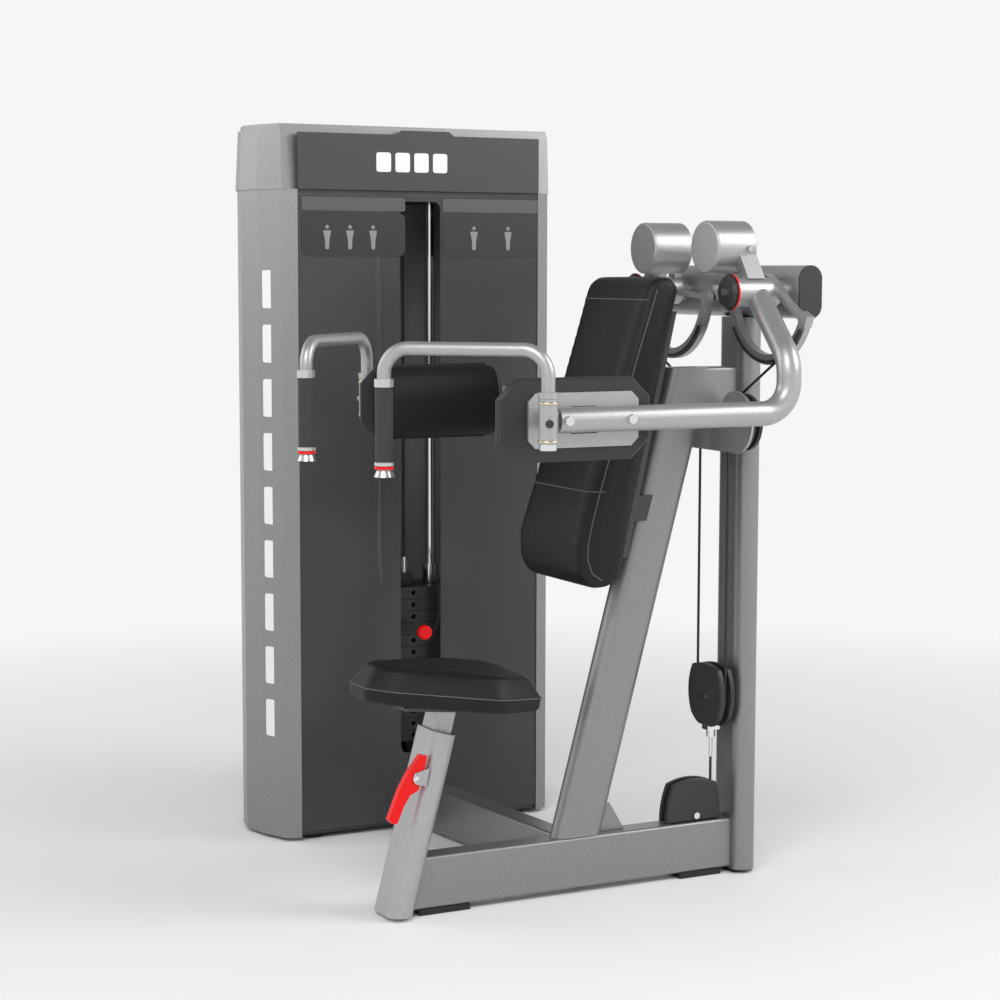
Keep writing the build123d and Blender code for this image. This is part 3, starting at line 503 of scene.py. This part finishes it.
def seat_outline(inset):
    half = [
        (42 - inset * 0.6, -166 + inset),
        (76 - inset * 0.8, -128 + inset * 0.6),
        (141 - inset, 50),
        (141 - inset, 72),
        (106 - inset * 0.8, 166 - inset),
    ]
    return half + [(-x, y) for x, y in reversed(half)]


def seat_pad():
    levels = ((8, 1), (2, 8), (1, 28), (5, 35), (23, 64), (31, 67.5))
    rings = [[(*p, w) for p in rounded(seat_outline(inset), 14)] for inset, w in levels]
    count = len(rings[0])
    points = [seat_place(*p) for ring in rings for p in ring]
    faces = [list(range(count))[::-1], [(len(rings) - 1) * count + i for i in range(count)]]
    for level in range(len(rings) - 1):
        for i in range(count):
            j = (i + 1) % count
            below = level * count
            above = below + count
            faces.append([below + i, below + j, above + j, above + i])
    pad = solid("seat_pad_cover", points, faces, LEATHER)
    recalc(pad.data)
    remesh = pad.modifiers.new("cells", "REMESH")
    remesh.mode = "VOXEL"
    remesh.voxel_size = 0.004
    soften = pad.modifiers.new("soften", "SMOOTH")
    soften.factor = 0.5
    soften.iterations = 3
    apply_all(pad)
    fill_with_air(pad, 1.5)
    smooth(pad.data, 180)
    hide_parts("seat_pad")
    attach(pad, "seat")
    line = [Vector(seat_place(p[0], p[1], 28)) for p in rounded(seat_outline(0.6), 14)]
    seam = tube("seat_seam", line, SEAM_R, THREAD, closed=True)
    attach(seam, "seat")


def arm_pad(side):
    name = "left" if side > 0 else "right"
    low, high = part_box(name + "_arm_pad")
    flat = high.x if side > 0 else low.x
    middle = (low.z + high.z) / 2
    half = (high.z - low.z) / 2 - 0.002
    deep = high.x - low.x
    outline = [(flat, middle - half), (flat, middle + half)]
    for i in range(1, 12):
        turn = math.pi * i / 12
        reach = 0.25 * deep + 0.74 * deep * math.sin(turn)
        outline.append((flat - side * reach, middle + half * math.cos(turn)))
    pad = stuffed(name + "_arm_pad_cover", outline, low.y + 0.002, high.y - 0.002,
                  lambda x, z, y: (x, y, z), 0.01, 2.0)
    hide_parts(name + "_arm_pad")
    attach(pad, name + "_arm")
    for number, y in enumerate((low.y + 0.012, high.y - 0.012)):
        points = []
        for i in range(1, 32):
            turn = math.pi * i / 32
            aim = Vector((flat, y, middle))
            away = Vector((-side * math.sin(turn), 0, math.cos(turn)))
            p = on_surface(pad, aim + away * 0.2, -away)
            if p is not None:
                points.append(p)
        seam = tube("%s_arm_seam_%d" % (name, number), points, SEAM_R, THREAD)
        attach(seam, name + "_arm")


# ------------------------------------------------------------------ cables
def straight_rope(name, x, y, z0, z1):
    """Vertical cable run up to a sliding body's place; it does not follow the body."""
    steps = 24
    points = [at(x, y, z0 + (z1 - z0) * i / steps) for i in range(steps + 1)]
    rope = tube(name, points, 0.0026, CABLE)
    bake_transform(rope)
    return rope


def moving_ropes():
    left = straight_rope("guide_rope_left", 51, 266, 907, 357)
    right = straight_rope("guide_rope_right", -51, 266, 907, 357)
    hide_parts("guide_ropes")
    low = straight_rope("block_rope_run", 0, 266, 123, 234.6)
    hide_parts("block_rope")
    top = straight_rope("stack_rope_run", -666, -102, 1400, 579)
    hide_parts("stack_rope")


# ------------------------------------------------------------------ small pieces
def plate(name, x, y0, y1, z0, z1, thick, made, body="frame"):
    """Thin plate in a YZ plane with its rear at x, in mm."""
    outline = rounded([(y0, z0), (y1, z0), (y1, z1), (y0, z1)], min(y1 - y0, z1 - z0) * 0.18)
    piece = prism(name, [tuple(p) for p in outline], x, x + thick, made,
                  lambda y, z, w: tuple(at(w, y, z)))
    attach(piece, body)
    return piece


def collars():
    for side in (-1, 1):
        name = "left" if side > 0 else "right"
        for number, z in enumerate((909, 974)):
            points = []
            for i in range(32):
                turn = math.tau * i / 32
                points.append(at(side * 385 + 16 * math.cos(turn), -308 + 16 * math.sin(turn), z))
            ring = tube("%s_collar_%d" % (name, number), points, 0.0022, BRASS, closed=True)
            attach(ring, name + "_arm")


def tower_marks():
    """Plain block marks on the nameplate and down the tower's front column."""
    face = -569.4
    for number, (y0, y1) in enumerate(((-205, -172), (-162, -129), (-119, -86), (-76, -43))):
        piece = plate("name_mark_%d" % number, face, y0, y1, 1398, 1438, 0.8, WHITE)
    front = 1195
    for number in range(9):
        z1 = front - number * 112
        mark = column_mark("column_mark_%d" % number, z1 - 78, z1)


def column_mark(name, z0, z1):
    """Mark that lies on the slanting face of the tower's front column."""
    a = Vector((-591.5, -409.5))
    b = Vector((-649, -437))
    along = (b - a).normalized()
    out = Vector((-along.y, along.x))
    if out.y > 0:
        out = -out
    mid = (a + b) / 2
    outline = rounded([(-20, z0), (20, z0), (20, z1), (-20, z1)], 6)

    def place(u, z, w):
        p = mid + along * u + out * w
        return tuple(at(p.x, p.y, z))

    piece = prism(name, [tuple(p) for p in outline], 0.2, 0.9, WHITE, place)
    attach(piece, "frame")
    return piece


def placards():
    """Dark sheet behind the shield's top edge, with small generic signs, each side of the slot, and
    above it a dark strip that is painted shadow.
    """
    face = -574.8
    pieces = []
    for number, (y0, y1, signs) in enumerate(((-370, -138, (-314, -263, -211)), (-51, 176, (22, 103)))):
        pieces.append(plate("placard_%d" % number, face, y0, y1, 1224, 1314, 0.9, MOULDING))
        # The strip above each placard is painted shadow below the nameplate.
        pieces.append(plate("placard_strip_%d" % number, face, y0, y1, 1317, 1345, 0.9, SHADOW_STRIP))
        for k, y in enumerate(signs):
            pieces += figure("placard_%d_sign_%d" % (number, k), face + 1.0, y, 1262)


def figure(name, x, y, z):
    """Small generic sign: a round head over a tapered body."""
    circle = []
    for i in range(16):
        turn = math.tau * i / 16
        circle.append((y + 4 * math.cos(turn), z + 22 + 4 * math.sin(turn)))
    half = [(9, 15), (5, -4), (4, -24)]
    corners = [(y - 9, z + 15)] + [(y + u, z + w) for u, w in half]
    corners += [(y - 4, z - 24), (y - 5, z - 4)]
    body = rounded(corners, 3)
    parts = []
    for suffix, outline in (("head", circle), ("body", body)):
        piece = prism(name + "_" + suffix, [tuple(p) for p in outline], x, x + 0.4, GREY_PRINT,
                      lambda u, v, w: tuple(at(w, u, v)))
        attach(piece, "frame")
        parts.append(piece)
    return parts


# ------------------------------------------------------------------ pin lanyard
LANYARD_ROUTE = ((-609, -68, 600), (-563, -68, 540), (-557, -66, 461.5), (-557, -81.5, 427.5))


def lanyard():
    curve = bpy.data.curves.new("lanyard_route", "CURVE")
    curve.dimensions = "3D"
    curve.resolution_u = 24
    spline = curve.splines.new("NURBS")
    spline.points.add(len(LANYARD_ROUTE) - 1)
    for target, p in zip(spline.points, LANYARD_ROUTE):
        target.co = (*at(*p), 1)
    spline.order_u = 3
    spline.use_endpoint_u = True
    carrier = bpy.data.objects.new("lanyard_route", curve)
    bpy.context.scene.collection.objects.link(carrier)
    view = bpy.context.evaluated_depsgraph_get()
    line = bpy.data.meshes.new_from_object(carrier.evaluated_get(view))
    route = [v.co.copy() for v in line.vertices]
    bpy.data.objects.remove(carrier)
    length = sum((b - a).length for a, b in zip(route, route[1:]))
    turns = int(length / 0.0048)
    points = []
    count = turns * 14
    for i in range(count + 1):
        s = i / count
        p, tangent = along_route(route, s)
        side = tangent.cross(Vector((1, 0.2, 0))).normalized()
        other = tangent.cross(side)
        turn = math.tau * turns * s
        reach = 0.003 * min(1, 12 * s + 0.02, 12 * (1 - s) + 0.02)
        points.append(p + side * (reach * math.cos(turn)) + other * (reach * math.sin(turn)))
    wire = tube("pin_lanyard_coil", points, 0.0008, CABLE, sides=2)
    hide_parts("pin_lanyard")
    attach(wire, "stack")


def along_route(route, s):
    place = s * (len(route) - 1)
    i = min(int(place), len(route) - 2)
    t = place - i
    tangent = (route[i + 1] - route[i]).normalized()
    return route[i].lerp(route[i + 1], t), tangent


# ------------------------------------------------------------------ studio
SKY_LOW = (0.92, 0.92, 0.925, 1)
FLOOR_NEAR = 0.9
FLOOR_FAR = 3.2


def sky():
    """Pale all round at eye height, darker overhead."""
    world = bpy.data.worlds.new("world")
    bpy.context.scene.world = world
    world.use_nodes = True
    tree = world.node_tree
    place = tree.nodes.new("ShaderNodeTexCoord")
    split = tree.nodes.new("ShaderNodeSeparateXYZ")
    ramp = tree.nodes.new("ShaderNodeValToRGB")
    ramp.color_ramp.elements[0].position = 0.2
    ramp.color_ramp.elements[0].color = SKY_LOW
    ramp.color_ramp.elements[1].position = 0.65
    ramp.color_ramp.elements[1].color = (0.3, 0.3, 0.31, 1)
    tree.links.new(place.outputs["Generated"], split.inputs["Vector"])
    tree.links.new(split.outputs["Z"], ramp.inputs["Fac"])
    tree.links.new(ramp.outputs["Color"], tree.nodes["Background"].inputs["Color"])
    tree.nodes["Background"].inputs["Strength"].default_value = 1.0


def floor_paint():
    """Pale floor that fades into the sky's own brightness a few metres away."""
    made = material("floor_white", (0.93, 0.93, 0.93), 0.7, specular=0.1)
    tree = made.node_tree
    place = tree.nodes.new("ShaderNodeTexCoord")
    reach = tree.nodes.new("ShaderNodeVectorMath")
    reach.operation = "LENGTH"
    fade = tree.nodes.new("ShaderNodeMapRange")
    fade.inputs["From Min"].default_value = FLOOR_NEAR
    fade.inputs["From Max"].default_value = FLOOR_FAR
    glow = tree.nodes.new("ShaderNodeEmission")
    glow.inputs["Color"].default_value = SKY_LOW
    mix = tree.nodes.new("ShaderNodeMixShader")
    tree.links.new(place.outputs["Object"], reach.inputs[0])
    tree.links.new(reach.outputs["Value"], fade.inputs["Value"])
    tree.links.new(fade.outputs["Result"], mix.inputs["Fac"])
    tree.links.new(tree.nodes["Principled BSDF"].outputs["BSDF"], mix.inputs[1])
    tree.links.new(glow.outputs["Emission"], mix.inputs[2])
    tree.links.new(mix.outputs["Shader"], tree.nodes["Material Output"].inputs["Surface"])
    return made


def studio():
    size = 60.0
    corners = [(-size, -size, 0), (size, -size, 0), (size, size, 0), (-size, size, 0)]
    floor = solid("floor", corners, [[0, 1, 2, 3]], floor_paint())
    sky()
    lamp("key", (2.6, -2.2, 3.4), (0, 0, 0.8), 2.4, 80)
    lamp("fill", (-2.2, -3.2, 2.6), (0, 0, 0.7), 2.6, 30)
    lamp("rim", (2.2, 2.6, 2.8), (0, 0, 0.9), 2.0, 70)
    bpy.context.scene.view_settings.view_transform = "Standard"


def lamp(name, place, target, size, power):
    light = bpy.data.lights.new(name, "AREA")
    light.energy = power
    light.size = size
    piece = bpy.data.objects.new(name, light)
    bpy.context.scene.collection.objects.link(piece)
    piece.location = place
    piece.rotation_euler = (Vector(target) - Vector(place)).to_track_quat("-Z", "Y").to_euler()


def camera():
    yaw, pitch, roll = (math.radians(a) for a in (63.22, 6.0, 0.11))
    ahead = Vector((-math.sin(yaw) * math.cos(pitch), math.cos(yaw) * math.cos(pitch), -math.sin(pitch)))
    right = Vector((math.cos(yaw), math.sin(yaw), 0))
    up = right.cross(ahead)
    side = right * math.cos(roll) + up * math.sin(roll)
    top = up * math.cos(roll) - right * math.sin(roll)
    eye = bpy.data.cameras.new("camera")
    eye.lens = 79.43
    eye.sensor_width = 36
    piece = bpy.data.objects.new("camera", eye)
    bpy.context.scene.collection.objects.link(piece)
    turn = Matrix((side, top, -ahead)).transposed().to_4x4()
    piece.matrix_world = Matrix.Translation(at(3663.6, -2053.4, 1200.1)) @ turn
    bpy.context.scene.camera = piece


paint_frame()
paint_moving()
back_pad()
seat_pad()
arm_pad(1)
arm_pad(-1)
moving_ropes()
collars()
tower_marks()
placards()
lanyard()
studio()
camera()
